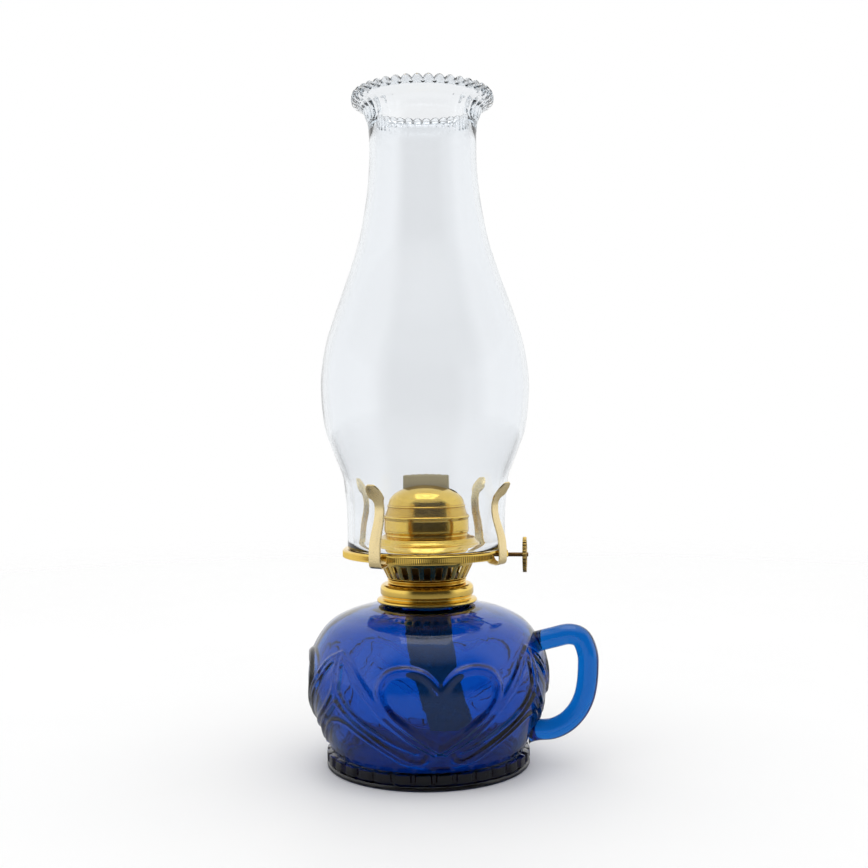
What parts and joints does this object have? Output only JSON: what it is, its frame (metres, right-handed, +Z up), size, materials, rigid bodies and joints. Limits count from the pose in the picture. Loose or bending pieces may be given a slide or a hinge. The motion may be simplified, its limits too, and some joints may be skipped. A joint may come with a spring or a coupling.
{
  "type": "oil lamp",
  "caption": "Kerosene table lamp: blue pressed-glass font with finger loop, brass flat-wick burner with spring prongs, and a clear glass chimney with a beaded lip.",
  "frame": {"origin": "on the lamp's upright axis at the plane the foot stands on", "axes": "+Z up, +X from the axis through the finger loop, -Y towards the front raised heart"},
  "size_m": [0.1398, 0.1148, 0.3201],
  "materials": {
    "blue_glass": "clear cobalt pressed glass, polished",
    "clear_glass": "clear blown glass",
    "brass": "polished and lacquered",
    "prong_brass": "pale satin spring brass",
    "dark_brass": "darkened brass",
    "plaster": "matt plaster cement",
    "cotton": "woven cotton wick"
  },
  "bodies": {
    "font": {"font": "blue_glass", "collar": "brass", "collar_cement": "plaster"},
    "burner_thread": {"screw_ring": "brass"},
    "burner": {"base_plate": "brass", "vent_basket": "brass", "gallery": "brass", "dome": "brass", "air_diffuser": "brass", "wick_tube": "brass", "vent_tube": "brass", "raiser_housing": "brass", "shaft_bushing": "brass", "prong_bracket_1": "brass", "prong_bracket_2": "brass", "prong_bracket_3": "brass", "prong_bracket_4": "brass", "prong_rivet_1": "brass", "prong_rivet_2": "brass", "prong_rivet_3": "brass", "prong_rivet_4": "brass"},
    "wick_raiser": {"raiser_shaft": "dark_brass", "spur_wheel_inner": "brass", "spur_wheel_outer": "brass", "knob_wheel": "dark_brass"},
    "wick": {"wick": "cotton"},
    "chimney": {"chimney": "clear_glass"},
    "prong_1": {"prong_1": "prong_brass"},
    "prong_2": {"prong_2": "prong_brass"},
    "prong_3": {"prong_3": "prong_brass"},
    "prong_4": {"prong_4": "prong_brass"}
  },
  "joints": [
    {"name": "burner_rise", "type": "slide", "parent": "font", "child": "burner_thread", "axis": [0, 0, 1], "range_m": [0, 0.0051]},
    {"name": "burner_unscrew", "type": "hinge", "parent": "burner_thread", "child": "burner", "pos_m": [0, 0, 0.0882], "axis": [0, 0, 1], "range_deg": [0, 720]},
    {"name": "knob_turn", "type": "hinge", "parent": "burner", "child": "wick_raiser", "pos_m": [-0.00016, 0.0064, 0.0986], "axis": [-0.9997, -0.0244, 0], "range_deg": [-97.6, 97.6]},
    {"name": "wick_feed", "type": "slide", "parent": "burner", "child": "wick", "axis": [0, 0, 1], "range_m": [-0.008, 0.008]},
    {"name": "chimney_lift", "type": "slide", "parent": "burner", "child": "chimney", "axis": [0, 0, 1], "range_m": [0, 0.08]},
    {"name": "prong_1_flex", "type": "hinge", "parent": "burner", "child": "prong_1", "pos_m": [-0.01651, -0.03605, 0.0973], "axis": [0.9092, -0.4163, 0], "range_deg": [0, 8], "stiffness_Nm_per_rad": 0.5},
    {"name": "prong_2_flex", "type": "hinge", "parent": "burner", "child": "prong_2", "pos_m": [0.0353, -0.01806, 0.0973], "axis": [0.4555, 0.8902, 0], "range_deg": [0, 8], "stiffness_Nm_per_rad": 0.5},
    {"name": "prong_3_flex", "type": "hinge", "parent": "burner", "child": "prong_3", "pos_m": [0.02223, 0.03283, 0.0973], "axis": [-0.8281, 0.5606, 0], "range_deg": [0, 8], "stiffness_Nm_per_rad": 0.5},
    {"name": "prong_4_flex", "type": "hinge", "parent": "burner", "child": "prong_4", "pos_m": [-0.03576, 0.01713, 0.0973], "axis": [-0.4321, -0.9018, 0], "range_deg": [0, 8], "stiffness_Nm_per_rad": 0.5}
  ],
  "couplings": [
    {"joint": "burner_rise", "follows": "burner_unscrew", "m_per_rad": 0.00039789},
    {"joint": "knob_turn", "follows": "wick_feed", "rad_per_m": 212.77}
  ]
}
